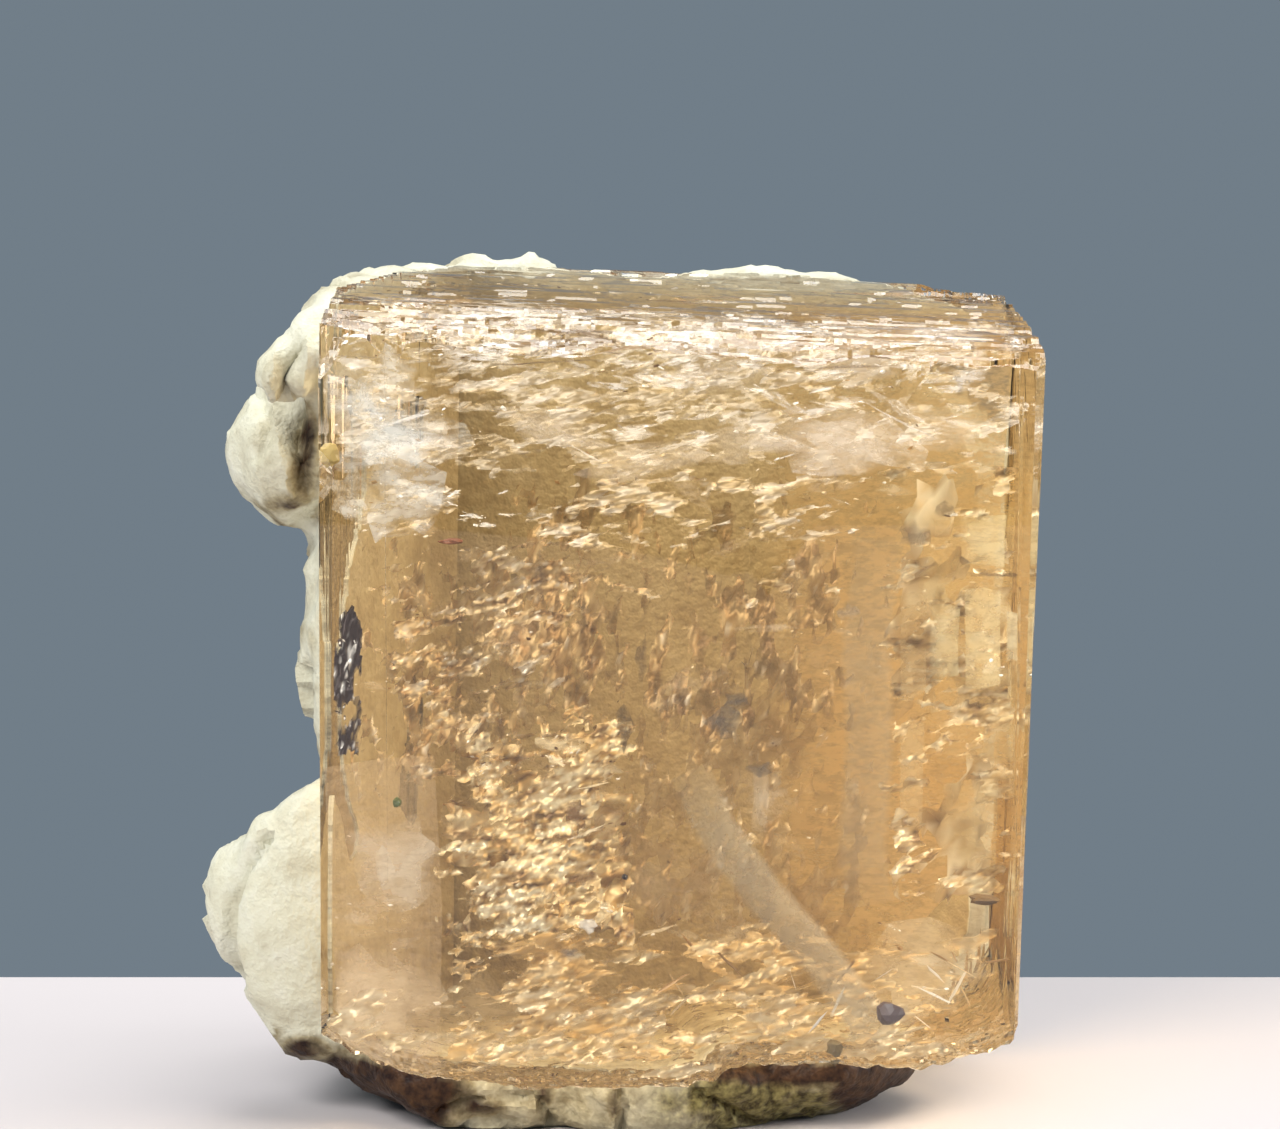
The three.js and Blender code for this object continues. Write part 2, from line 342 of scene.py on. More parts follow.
def end_height(tree, x, y, side):
    """Height of the crystal's upper or lower end over a place, or over the nearest place that has one."""
    middle = (CRYSTAL_LOW + CRYSTAL_HIGH) / 2
    here = Vector((x * MM, y * MM, 0))
    for step in range(RETREAT_STEPS):
        spot = here.lerp(middle, step / RETREAT_PARTS)
        start = Vector((spot.x, spot.y, middle.z + side * PROBE_HEIGHT * MM))
        hit = tree.ray_cast(start, Vector((0, 0, -side)))[0]
        if hit is not None:
            return hit.z / MM
    return (CRYSTAL_HIGH.z if side > 0 else CRYSTAL_LOW.z) / MM


def terrace_drop(x, y):
    """How far the cleavage has gone down at a place of the top, in terraces, in millimetres."""
    broad = noise.noise(Vector((0.09 * x, 0.5 * y, 3)))
    narrow = noise.noise(Vector((0.22 * x + 5, 1.7 * y, 7)))
    hair = noise.noise(Vector((0.5 * x + 9, 4.5 * y, 1)))
    share = 0.5 + 0.5 * (broad + 0.55 * narrow + 0.3 * hair)
    edge = max(0, y - FRONT / MM)
    left = held((CRYSTAL_HIGH.x / MM - x) / 25)
    wander = 1 + 0.6 * narrow + 0.5 * hair
    frayed = (0.35 + 0.55 * left) * math.exp(-edge / (0.5 + 1.1 * left)) * max(0.1, wander)
    drop = TERRACE_DEPTH * max(0, min(0.999, share)) + frayed
    return 0.02 + math.floor(drop / TERRACE_STEP) * TERRACE_STEP


def break_rise(x, y):
    """How far the under side is broken away at a place, in millimetres."""
    coarse = noise.noise(Vector((0.5 * x, 0.5 * y, 11)))
    shell = abs(noise.noise(Vector((1.1 * x, 1.3 * y, 17))))
    fine = noise.noise(Vector((3 * x, 3.4 * y, 23)))
    return 0.02 + BREAK_DEPTH * held(0.4 + 0.5 * coarse + 0.5 * shell + 0.25 * fine)


def relief_cutter(tree, side, depth):
    """Block beyond one end of the crystal, with the end's fine relief on its near face."""
    low = CRYSTAL_LOW / MM - Vector((1, 1, 0)) * RELIEF_MARGIN
    high = CRYSTAL_HIGH / MM + Vector((1, 1, 0)) * RELIEF_MARGIN
    across = math.ceil((high.x - low.x) / RELIEF_CELL)
    along = math.ceil((high.y - low.y) / RELIEF_CELL)
    row = across + 1
    points = []
    for j in range(along + 1):
        for i in range(row):
            x = low.x + i * RELIEF_CELL
            y = low.y + j * RELIEF_CELL
            z = end_height(tree, x, y, side) - side * depth(x, y)
            points.append(Vector((x, y, z)) * MM)
    faces = []
    for j in range(along):
        for i in range(across):
            a = j * row + i
            faces.append((a, a + row, a + row + 1, a + 1))
    rim = list(range(row))
    rim += [j * row + across for j in range(1, along + 1)]
    rim += [along * row + i for i in range(across - 1, -1, -1)]
    rim += [j * row for j in range(along - 1, 0, -1)]
    far = (CRYSTAL_HIGH.z if side > 0 else CRYSTAL_LOW.z) + side * CUTTER_HEIGHT * MM
    lid = len(points)
    points += [Vector((points[k].x, points[k].y, far)) for k in rim]
    for k in range(len(rim)):
        after = (k + 1) % len(rim)
        faces.append((rim[k], rim[after], lid + after, lid + k))
    faces.append(tuple(lid + k for k in range(len(rim))))
    if side < 0:
        faces = [tuple(reversed(face)) for face in faces]
    return new_object("relief", mesh_from("relief", points, faces))


def crystal_piece(material):
    """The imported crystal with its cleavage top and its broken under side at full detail."""
    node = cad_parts["topaz_crystal"]
    tree = tree_of(node)
    piece = new_object("topaz_body", node.data.copy())
    join_faces(piece.data)
    cutters = [relief_cutter(tree, 1, terrace_drop), relief_cutter(tree, -1, break_rise)]
    for cutter in cutters:
        cut = piece.modifiers.new("relief", "BOOLEAN")
        cut.operation = "DIFFERENCE"
        cut.solver = "MANIFOLD"
        cut.object = cutter
    mesh = evaluated(piece)
    piece.modifiers.clear()
    piece.data = mesh
    for cutter in cutters:
        bpy.data.objects.remove(cutter)
    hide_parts("topaz_crystal")
    dress(piece, material)
    return piece


# The feldspar

# Real stains and painted shade on the feldspar: real brown stains along the lower lobe's rim and on the
# foot; painted shade over the upper nodule, darkest on its side and base by the crystal, on the thin crust
# beside the crystal and in the recess under it. Place and half size in the photograph, and strength.
STAINS_AND_SHADE = [
    ((304, 455), (22, 78), 1.0), ((280, 514), (52, 24), 0.9), ((275, 410), (75, 130), 0.22),
    ((311, 560), (10, 18), 0.7), ((309, 640), (9, 28), 0.55), ((312, 700), (9, 16), 0.75),
    ((310, 755), (10, 20), 0.7), ((208, 955), (9, 44), 0.5), ((236, 1012), (16, 18), 0.9),
    ((262, 1036), (24, 15), 0.9), ((305, 1048), (36, 16), 1.0), ((345, 1085), (66, 42), 1.6),
    ((400, 1095), (92, 50), 1.6), ((885, 1088), (80, 52), 1.6), ((795, 1074), (140, 20), 1.3),
    ((560, 1100), (190, 60), 0.4), ((545, 1092), (10, 28), 0.9), ((612, 1104), (9, 26), 0.9),
    ((480, 1112), (40, 14), 0.9), ((760, 1112), (140, 44), 0.5),
]
# Lumps of feldspar that stand over the back edge of the crystal's top: centre and half size in mm.
RIM_LUMPS = [
    ((-10.2, 0.5, 29.6), (1.0, 1.4, 0.9)), ((-10.7, -0.4, 29.0), (1.1, 1.5, 1.0)),
    ((-11.3, -1.2, 28.2), (1.2, 1.6, 1.1)), ((-12.0, -1.5, 27.3), (1.2, 1.6, 1.2)),
    ((-9.9, 1.0, 29.85), (0.9, 1.2, 0.6)), ((-9.3, 2.4, 30.0), (1.1, 1.3, 0.65)),
    ((-8.4, 4.0, 30.15), (1.3, 1.3, 0.75)), ((-7.0, 5.6, 30.25), (1.5, 1.3, 0.85)),
    ((-5.4, 6.4, 30.25), (1.4, 1.1, 0.85)), ((-4.1, 6.7, 30.2), (1.0, 0.9, 0.75)),
    ((3.5, 7.1, 29.8), (1.2, 0.9, 0.75)), ((5.0, 7.1, 29.9), (1.6, 0.9, 0.85)),
    ((6.8, 7.1, 29.8), (1.5, 0.9, 0.8)),
]

# Creases in the feldspar: a line in the photograph, half width in pixels, depth in millimetres.
GROOVES = [
    (((266, 838), (243, 868), (230, 905), (228, 945), (238, 985)), 8, 0.55),
    (((292, 340), (286, 385), (292, 425), (304, 485)), 16, 0.9),
    (((258, 395), (268, 425), (256, 455)), 8, 0.35),
    (((545, 1066), (538, 1095), (556, 1130)), 6, 0.5),
    (((612, 1076), (626, 1100), (622, 1130)), 6, 0.5),
    (((440, 1112), (480, 1102), (538, 1098)), 6, 0.4),
    (((690, 1090), (720, 1104), (760, 1130)), 6, 0.4),
]
SMOOTH_SPOTS = [((265, 930), (100, 165), 1), ((275, 405), (80, 140), 1)]
GREEN_STAIN = ((755, 1105), (130, 45), 1.3)


def pixel_of(point):
    """Where a point shows in the photograph."""
    right, up, forward = camera_axes()
    ray = point - (CAMERA_AIM - CAMERA_DISTANCE * forward)
    scale = FOCAL_PIXELS / ray.dot(forward)
    return IMAGE_WIDTH / 2 + ray.dot(right) * scale, IMAGE_HEIGHT / 2 - ray.dot(up) * scale


def spot_strength(pixel, spot):
    """Strength of a stain or of painted shade at a pixel, soft towards its edge."""
    (cx, cy), (half_x, half_y), strength = spot
    away = math.hypot((pixel[0] - cx) / half_x, (pixel[1] - cy) / half_y)
    return strength * held(1.6 * (1 - away))


def groove_depth(pixel):
    """How deep a crease is at a pixel, in millimetres."""
    deepest = 0
    here = Vector(pixel)
    for line, half, depth in GROOVES:
        for start, end in zip(line, line[1:]):
            a, b = Vector(start), Vector(end)
            share = held((here - a).dot(b - a) / (b - a).length_squared)
            away = (here - a.lerp(b, share)).length / half
            deepest = max(deepest, depth * max(0, 1 - away))
    return deepest


def plates(p, scale):
    """Height of tilted broken plates at a place, and how near it is to their cracks, 0 to 1."""
    spot = p * scale + 0.4 * noise.noise_vector(p * 0.5)
    reach, cells = noise.voronoi(spot)[:2]
    lean = noise.noise_vector(cells[0] * 3.7)
    height = 0.5 * noise.noise(cells[0] * 5.3) + (spot - cells[0]).dot(lean)
    return height, max(0, 1 - (reach[1] - reach[0]) / CRACK_WIDTH)


def crag(p):
    """Height of the broken feldspar at a place in millimetres, and how near it is to a crack."""
    large, seam = plates(p, LARGE_PLATES)
    small, hair = plates(p, SMALL_PLATES)
    open_share = held(0.3 + 2 * noise.noise(p * 0.22))
    crack = max(seam, 0.6 * hair) * open_share
    return LARGE_HEIGHT * large + SMALL_HEIGHT * small - CRACK_DEPTH * crack, crack


def add_lumps(mesh):
    """Joins the rim's lumps to the feldspar before its skin is made."""
    with edited(mesh) as body:
        for centre, half in RIM_LUMPS:
            shape = Matrix.LocRotScale(Vector(centre) * MM, None, Vector(half) * MM)
            bmesh.ops.create_icosphere(body, subdivisions=2, radius=1, matrix=shape)


def skin_piece():
    """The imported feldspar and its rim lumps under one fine, even skin."""
    piece = new_object("albite_skin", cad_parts["albite_matrix"].data.copy())
    add_lumps(piece.data)
    remesh = piece.modifiers.new("remesh", "REMESH")
    remesh.mode = "VOXEL"
    remesh.voxel_size = SKIN_VOXEL * MM
    relax = piece.modifiers.new("relax", "SMOOTH")
    relax.factor = 0.5
    relax.iterations = 6
    mesh = evaluated(piece)
    piece.modifiers.clear()
    piece.data = mesh
    return piece


def grown(vertex, p, pixel, crystal):
    """Where a point of the skin goes, and how much painted shade it gets where it meets the crystal and in
    cracks.
    """
    near, _, _, gap = crystal.find_nearest(vertex.co)
    toward = near - vertex.co
    # Skin near the crystal is drawn onto it and gets painted shade, more at the foot
    if gap < CONTACT_REACH * MM and vertex.normal.dot(toward) > CONTACT_FACING * gap:
        crevice_shade = FOOT_SHADE if near.z < CRYSTAL_LOW.z + FOOT_HEIGHT * MM else CONTACT_SHADE
        return vertex.co + toward.normalized() * (gap + CONTACT_BITE * MM), crevice_shade
    soft = max(spot_strength(pixel, spot) for spot in SMOOTH_SPOTS)
    lumpy = 1 - 0.7 * soft
    behind = held((vertex.normal.y + 0.3) * 2.5) * (1 - 0.85 * soft)
    swell = lumpy * SWELL_HEIGHT * noise.fractal(p * 0.7, 1, 2, 3)
    grain = lumpy * GRAIN_HEIGHT * (0.45 - noise.voronoi(p * 0.9)[0][0])
    crease = groove_depth(pixel) if vertex.normal.y < 0.2 else 0
    plate, crack = crag(p)
    bump = 0
    if p.z > FLAT_HEIGHT:
        bump = swell + grain - crease + plate * max(behind, 0.25 * lumpy * lumpy)
    # Cracks between the plates on the far side get painted shade
    return vertex.co + vertex.normal * bump * MM, max(0, behind * 0.5 * crack)


def stain_and_shade_at(vertex, p, pixel, crevice_shade, speck):
    """How strongly the feldspar is stained or darkened by painted shade at a point of its skin, 0 to 1."""
    rust = max(0, noise.fractal(p * 0.22, 0.8, 2, 4) - 0.12) * held(vertex.normal.y + 0.4)
    spots = 0
    # Spots of real stain, and of painted shade on the nodule, the crust and the recess under the crystal
    if vertex.normal.y < SEEN_FACING:
        spots = max(spot_strength(pixel, spot) for spot in STAINS_AND_SHADE)
    if vertex.normal.y > -0.6 and p.z > 3:
        spots *= held(0.2 + 2.2 * noise.noise(p * 0.8))
    return min(1, max(crevice_shade * speck * 1.6, rust * (0.4 + speck), spots * (0.7 + 0.6 * speck)))


def matrix_piece(material, crystal):
    """The feldspar at full detail, grown tight against the crystal."""
    piece = skin_piece()
    mesh = piece.data
    stains_and_shade = []
    greens = []
    moved = []
    for vertex in mesh.vertices:
        p = vertex.co / MM
        pixel = pixel_of(vertex.co)
        place, crevice_shade = grown(vertex, p, pixel, crystal)
        moved.append(place)
        speck = 0.5 + 0.5 * noise.fractal(p * 1.3, 1, 2, 3)
        stains_and_shade.append(stain_and_shade_at(vertex, p, pixel, crevice_shade, speck))
        green = spot_strength(pixel, GREEN_STAIN) if vertex.normal.y < SEEN_FACING else 0
        greens.append(min(1, green * (0.4 + speck)))
    for vertex, place in zip(mesh.vertices, moved):
        vertex.co = place
    set_floats(mesh, "stain_and_shade", stains_and_shade)
    set_floats(mesh, "green", greens)
    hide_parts("albite_matrix")
    dress(piece, material, smooth=True)
    mesh.update()
    mesh.set_sharp_from_angle(angle=CREASE_ANGLE)
    return piece


# Cracks inside the crystal

CREAM = (0.92, 0.87, 0.78)
GOLD = (0.78, 0.62, 0.38)
SAND = (0.52, 0.40, 0.23)
AMBER = (0.62, 0.42, 0.17)
STRAW = (1.0, 0.88, 0.60)
PEARL = (0.97, 0.94, 0.90)
TAN = (0.36, 0.22, 0.09)
BARK = (0.11, 0.055, 0.018)
SEAM_BROWN = (0.035, 0.018, 0.012)

PALE_CRUMBS = ((0.55, CREAM), (0.85, GOLD), (0.96, TAN), (1, BARK))
MIXED_CRUMBS = ((0.3, CREAM), (0.6, GOLD), (0.88, TAN), (1, BARK))
GOLDEN_CRUMBS = ((0.38, CREAM), (0.66, GOLD), (0.88, TAN), (1, BARK))


@dataclass
class Cracks:
    """A cluster of cracks: number of films, their radius and flatness, facing and its scatter, haze,
    crumbs on each film, box in the photograph, depth behind the front face in millimetres, the films'
    colour, how far fine veins break them, the crumbs' radius and how their colours divide."""
    films: int
    size: tuple
    flat: tuple
    facing: tuple
    scatter: float
    haze: float
    crumbs: int
    box: tuple = None
    depth: tuple = None
    tone: tuple = None
    veined: float = 1
    grain: tuple = (0.04, 0.2)
    split: tuple = PALE_CRUMBS


CRACK_ZONES = [
    Cracks(box=(335, 338, 1030, 462), depth=(0.4, 7), films=54, size=(0.5, 2.0), flat=(0.2, 0.5),
           facing=(0, -0.45, 0.9), scatter=0.2, tone=(1.0, 0.96, 0.91), haze=0.6, crumbs=5),
    Cracks(box=(350, 350, 1020, 470), depth=(2, 9), films=12, size=(1.5, 3.2), flat=(0.4, 0.7),
           facing=(0, -0.8, 0.6), scatter=0.2, tone=(0.90, 0.83, 0.76), haze=0.5, veined=0.55, crumbs=3),
    Cracks(box=(342, 365, 425, 520), depth=(0.6, 3.5), films=22, size=(0.8, 2.0), flat=(0.5, 1),
           facing=(0.2, -0.9, 0.3), scatter=0.35, tone=(0.95, 0.94, 0.87), haze=0.5, veined=0.8,
           crumbs=5, grain=(0.04, 0.18)),
    Cracks(box=(440, 478, 508, 526), depth=(1, 3), films=8, size=(0.2, 0.6), flat=(0.2, 0.5),
           facing=(0, -0.6, 0.8), scatter=0.2, tone=(1, 0.97, 0.92), haze=0.9, veined=0.5, crumbs=6,
           grain=(0.05, 0.2)),
    Cracks(box=(360, 500, 880, 960), depth=(2, 10), films=7, size=(1.8, 4.0), flat=(0.4, 0.9),
           facing=(0.1, -0.85, 0.45), scatter=0.3, tone=(0.50, 0.40, 0.27), haze=0.4, veined=0.9,
           crumbs=8, grain=(0.03, 0.14), split=MIXED_CRUMBS),
    Cracks(box=(540, 450, 870, 640), depth=(1.5, 9), films=12, size=(0.5, 1.6), flat=(0.25, 0.6),
           facing=(0, -0.6, 0.75), scatter=0.3, tone=(0.52, 0.42, 0.30), haze=0.5, crumbs=5,
           grain=(0.04, 0.18)),
    Cracks(box=(345, 530, 600, 770), depth=(1.5, 10), films=8, size=(0.5, 1.5), flat=(0.25, 0.8),
           facing=(0.1, -0.7, 0.6), scatter=0.45, tone=(0.62, 0.48, 0.31), haze=0.5, crumbs=6,
           grain=(0.04, 0.18), split=MIXED_CRUMBS),
    Cracks(box=(600, 600, 870, 930), depth=(1.5, 10), films=8, size=(0.5, 1.5), flat=(0.25, 0.8),
           facing=(0, -0.8, 0.5), scatter=0.45, tone=(0.56, 0.45, 0.31), haze=0.45, crumbs=5,
           grain=(0.03, 0.16), split=MIXED_CRUMBS),
    Cracks(box=(445, 715, 625, 938), depth=(1.2, 6), films=12, size=(0.3, 0.9), flat=(0.3, 0.8),
           facing=(0, -0.55, 0.8), scatter=0.55, tone=(0.95, 0.84, 0.60), haze=0.9, veined=0.6, crumbs=8,
           grain=(0.05, 0.26), split=GOLDEN_CRUMBS),
    Cracks(box=(440, 925, 1005, 1066), depth=(0.5, 8), films=20, size=(0.4, 1.4), flat=(0.12, 0.4),
           facing=(0, -0.6, 0.8), scatter=0.35, tone=(0.80, 0.68, 0.48), haze=0.7, veined=0.9, crumbs=5,
           split=GOLDEN_CRUMBS),
    Cracks(box=(890, 480, 1022, 900), depth=(2, 9), films=6, size=(0.3, 1.1), flat=(0.2, 0.6),
           facing=(0.1, -0.7, 0.6), scatter=0.4, tone=(0.95, 0.80, 0.54), haze=0.7, veined=0.7, crumbs=5,
           split=GOLDEN_CRUMBS),
    Cracks(box=(345, 780, 440, 1060), depth=(1, 8), films=12, size=(0.5, 1.5), flat=(0.3, 0.9),
           facing=(0.2, -0.9, 0.3), scatter=0.35, tone=(0.80, 0.70, 0.58), haze=0.45, veined=0.7,
           crumbs=3, grain=(0.04, 0.15)),
]

# Films and slivers: the step past a skin in millimetres, rings and corners of a film, the ranges of its
# brightness and haze, its bulge, the scatter of its spin, how far out ragged corners reach, the
# thickness of a sliver, and the clearances from the crystal's skin in millimetres.
UPWARD = Vector((0, 0, 1))
SKIN_STEP = 0.001
FILM_RINGS = 3
FILM_SIDES = 12
FILM_SHADE = (0.8, 1.0)
FILM_HAZE = (0.5, 1)
FILM_BULGE = 0.1
FILM_SPIN = 0.25
RAGGED_REACH = (0.5, 1)
LENS_THICKNESS = 0.25
FILM_CLEARANCE = 0.1
LENS_CLEARANCE = 0.04

# Cleavage cracks close under the top: shares of the crystal's width and depth, millimetres down,
# and the colours of the films.
TOP_WIDTH = (0.02, 0.98)
TOP_DEPTH = (0.02, 0.9)
TOP_BELOW = (0.5, 1.3)
TOP_TONES = (CREAM, TAN, BARK, BARK, BARK, (0.30, 0.20, 0.12))
TOP_CRACKS = Cracks(films=100, size=(0.8, 3.0), flat=(0.06, 0.3), facing=(0, 0, 1), scatter=0.05, haze=0.95,
                    veined=0.8, crumbs=9, grain=(0.05, 0.2), split=MIXED_CRUMBS)

# Golden steps in the right column, panes of painted golden light and reflection where light comes back
# through the crystal's back-right, with a few dark lines: box in the photograph, depth, colour, haze,
# and the share of haze left along the left side.
GOLDEN_GLOW_PANES = [
    ((740, 316, 1024, 1000), 15, (0.86, 0.68, 0.38), 0.9, 0),
    ((895, 470, 1020, 905), 10, (0.84, 0.58, 0.23), 0.55, 0),
    ((905, 490, 1018, 760), 6, (0.96, 0.72, 0.31), 0.4, 0),
    ((930, 605, 960, 680), 2.5, (1.0, 0.86, 0.50), 0.5, 0.2),
    ((1006, 612, 1019, 662), 2, (1.0, 0.90, 0.58), 0.6, 0.4),
    ((958, 515, 1008, 568), 3, (1.0, 0.86, 0.50), 0.65, 0),
    ((898, 590, 928, 700), 3.5, (0.72, 0.50, 0.22), 0.5, 0.8),
    ((962, 585, 1004, 690), 4, (1.0, 0.84, 0.48), 0.5, 0.8),
    ((930, 690, 985, 760), 7, (0.95, 0.72, 0.38), 0.4, 0),
    ((900, 720, 925, 830), 6, (1.0, 0.82, 0.50), 0.4, 0.8),
    ((985, 700, 1016, 800), 3, (0.66, 0.45, 0.18), 0.5, 0),
    ((940, 780, 1000, 870), 4, (0.95, 0.72, 0.34), 0.35, 0.3),
    ((965, 573, 1018, 577), 4, BARK, 0.7, 0),
    ((1008, 520, 1010, 700), 3.5, TAN, 0.6, 0.8),
    ((326, 760, 440, 1062), 2.5, (0.78, 0.58, 0.36), 0.38, 0.8),
]

# Milky growth bands: a line in the photograph, half width in pixels, depth, colour and haze.
GROWTH_BANDS = [
    (((688, 772), (716, 830), (768, 900), (824, 962), (864, 1018), (882, 1050)),
     23, 1.6, (0.50, 0.43, 0.29), 0.5),
    (((878, 540), (866, 640), (870, 740), (862, 850), (872, 905)), 27, 3, (0.52, 0.45, 0.31), 0.3),
    (((760, 768), (762, 800), (759, 832)), 9, 4, (0.80, 0.70, 0.55), 0.5),
]
# Places across a band, in half widths, with the share of haze there
BAND_PROFILE = ((-1, 0), (-0.7, 0.9), (0, 1), (0.7, 0.9), (1, 0))
BAND_SWELL = 0.5
BAND_END = 0.3
BAND_VEINED = 0.25

# Panes and smudges stand upright and face the front.
UPRIGHT = Matrix(((1, 0, 0), (0, 0, -1), (0, 1, 0)))
PANE_EDGE = (0.86, 1.04)
PANE_TILT = 0.15
PANE_RIGHT = 0.8
PANE_VEINED = 0.5
SMUDGE_VEINED = 0.4

# Grains caught in the crystal: place in the photograph, depth, radius in millimetres, stretch, colour.
GRAINS = [
    ((890, 1014), 0.85, 0.48, (1, 0.8, 0.9), (0.10, 0.07, 0.07)),
    ((835, 1048), 0.7, 0.3, (1, 0.8, 1), (0.16, 0.11, 0.04)),
    ((985, 900), 0.8, 0.42, (1.3, 0.8, 0.5), (0.18, 0.10, 0.03)),
    ((397, 803), 1.5, 0.16, (1, 1, 1), (0.09, 0.12, 0.03)),
    ((450, 542), 1.5, 0.3, (1.4, 0.6, 0.35), (0.22, 0.07, 0.02)),
    ((625, 877), 0.8, 0.11, (1, 1, 1), (0.02, 0.012, 0.01)),
    ((330, 455), 0.8, 0.4, (0.9, 0.5, 1), (0.50, 0.36, 0.12)),
]

# Colours of the crumpled crack faces
EARTHY = (BARK, TAN, SAND, GOLD, CREAM)
GOLDEN = (BARK, TAN, AMBER, GOLD, STRAW)
FROSTY = (TAN, SAND, GOLD, CREAM, PEARL)
INKY = (SEAM_BROWN, SEAM_BROWN, SEAM_BROWN, CREAM)


@dataclass
class Fracture:
    """A crumpled crack face: its box in the photograph, depth in the middle and its lean in
    millimetres for 100 pixels across and down, slant of its streaks, the share left bare, haze, the
    middle and the spread of its shade, the share of glints, colours from dark to bright, waviness
    and roughness in millimetres, the pixels over which it thins towards the box's edge, and the
    width and height of its crumples in pixels."""
    box: tuple
    depth: float
    lean: tuple
    slant: float
    bare: float
    haze: float
    shade: tuple
    glint: float
    tones: tuple = EARTHY
    wave: float = 1
    rough: float = 0.1
    soft: float = 50
    pitch: tuple = (4, 3)


FROST = Fracture(box=(334, 338, 1030, 374), depth=3, lean=(0, -9), slant=0.28, bare=0.46, soft=14,
                 pitch=(6, 2), haze=0.32, tones=FROSTY, shade=(0.72, 0.4), glint=0.035)
FRACTURES = [
    Fracture(box=(430, 705, 636, 948), depth=3, lean=(0.6, -1), wave=1.2, slant=-0.17, bare=0.44,
             haze=0.95, tones=GOLDEN, shade=(0.68, 0.8), glint=0.07),
    Fracture(box=(434, 712, 632, 944), depth=5, lean=(-0.6, -1), wave=1.5, rough=0.14, pitch=(4, 5),
             slant=1.2, bare=0.42, haze=0.95, tones=GOLDEN, shade=(0.62, 0.9), glint=0.06),
    Fracture(box=(440, 716, 628, 940), depth=7.5, lean=(-0.3, -0.6), rough=0.2, pitch=(8, 6), slant=0.1,
             bare=0.32, haze=0.9, tones=GOLDEN, shade=(0.58, 0.9), glint=0.04),
    Fracture(box=(366, 540, 590, 806), depth=4, lean=(1, -0.8), wave=1.5, soft=40, slant=-0.21,
             bare=0.52, haze=0.7, shade=(0.52, 0.8), glint=0.05),
    Fracture(box=(350, 540, 640, 800), depth=7, lean=(1, -0.8), wave=1.5, rough=0.12, soft=60,
             pitch=(4, 6), slant=1.4, bare=0.42, haze=0.65, shade=(0.38, 0.5), glint=0.015),
    Fracture(box=(520, 458, 876, 640), depth=4, lean=(-0.5, -1.5), wave=2, pitch=(5, 3), slant=0.3,
             bare=0.60, haze=0.6, shade=(0.55, 0.6), glint=0.04),
    Fracture(box=(500, 470, 886, 740), depth=7.5, lean=(-0.5, -1.5), wave=2, rough=0.14, soft=60,
             pitch=(4, 7), slant=1.5, bare=0.40, haze=0.6, shade=(0.24, 0.5), glint=0.015),
    Fracture(box=(590, 670, 790, 955), depth=5, lean=(0.5, 1), wave=2, pitch=(4, 5), slant=1.45,
             bare=0.60, haze=0.55, shade=(0.56, 0.4), glint=0.025),
    Fracture(box=(590, 660, 886, 955), depth=8, lean=(0.5, 1), wave=2, rough=0.14, soft=60, pitch=(5, 7),
             slant=1.5, bare=0.42, haze=0.5, shade=(0.40, 0.35), glint=0.01),
    Fracture(box=(436, 924, 800, 1070), depth=2.5, lean=(0, -2), soft=20, pitch=(5, 3), slant=-0.24,
             bare=0.54, haze=0.7, tones=GOLDEN, shade=(0.66, 0.4), glint=0.04),
    Fracture(box=(440, 930, 1002, 1068), depth=6, lean=(0, -3), rough=0.14, soft=20, pitch=(8, 3),
             slant=0.24, bare=0.42, haze=0.7, tones=GOLDEN, shade=(0.64, 0.3), glint=0.015),
    Fracture(box=(326, 985, 1012, 1088), depth=1, lean=(0, 0), wave=0.5, rough=0.08, soft=10,
             pitch=(6, 3), slant=-0.17, bare=0.56, haze=0.5, tones=GOLDEN, shade=(0.72, 0.3),
             glint=0.03),
    Fracture(box=(880, 464, 1026, 910), depth=4.5, lean=(1.5, 0.3), wave=1.5, rough=0.08, soft=24,
             pitch=(5, 3), slant=0.035, bare=0.54, haze=0.8, tones=GOLDEN, shade=(0.60, 0.8),
             glint=0.05),
    Fracture(box=(884, 470, 1024, 905), depth=6.5, lean=(1, 0.3), rough=0.02, soft=16, pitch=(9, 13),
             slant=0, bare=0.38, haze=0.75, tones=GOLDEN, shade=(0.62, 0.9), glint=0.06),
    Fracture(box=(334, 606, 361, 760), depth=0.9, lean=(0, -0.2), wave=0.3, rough=0.06, soft=16,
             pitch=(2, 5), slant=1.6, bare=0.22, haze=1, tones=INKY, shade=(0.2, 0.8), glint=0.05),
    FROST,
    replace(FROST, box=(334, 356, 1030, 394), depth=6, lean=(0, -8), slant=-0.28, bare=0.48),
    replace(FROST, box=(334, 378, 1030, 420), depth=9, lean=(0, -7), slant=0.28, bare=0.50),
    replace(FROST, box=(334, 403, 1030, 448), depth=4, lean=(0, -6), slant=-0.28, bare=0.50),
    replace(FROST, box=(334, 430, 1030, 482), depth=7, lean=(0, -5), slant=0.28, bare=0.53, soft=20),
    replace(FROST, box=(340, 466, 884, 550), depth=5, lean=(0, -4), slant=-0.28, bare=0.54, soft=24,
            haze=0.6, shade=(0.60, 0.4), glint=0.03),
]
# Grain of the crumpled faces: streaks, waves and broad patches for each pixel, how far apart the
# patterns of two faces are taken, the unevenness of the corners in pitches, the least depth in
# millimetres, and how the cover of the streaks turns into haze.
STREAK_LENGTH = 0.022
STREAK_WIDTH = 0.062
STREAK_DEPTH = 0.45
PATCH_PITCH = 0.0085
PATCH_STRENGTH = 0.34
WAVE_PITCH = 0.012
WAVES_APART = 40
STREAKS_APART = 700
PATCHES_APART = 90
SHADE_PITCH = 1.6
SHADE_SHIFT = Vector((0, 0, 9))
CORNER_SHIFT = 0.4
NEAREST_SHEET = 0.3
COVER_SCATTER = 0.04
EDGE_THINNING = 0.3
COVER_LEAST = -0.03
HAZE_LEAST = 0.15
HAZE_RISE = 6
# Crumbs: how far they lie off their film in millimetres, how far out in radii of the film, the scatter
# of their lean, and their flatness
CRUMB_SCATTER = 0.06
CRUMB_REACH = 1.2
CRUMB_LEAN = 0.45
CRUMB_FLAT = (0.2, 0.7)
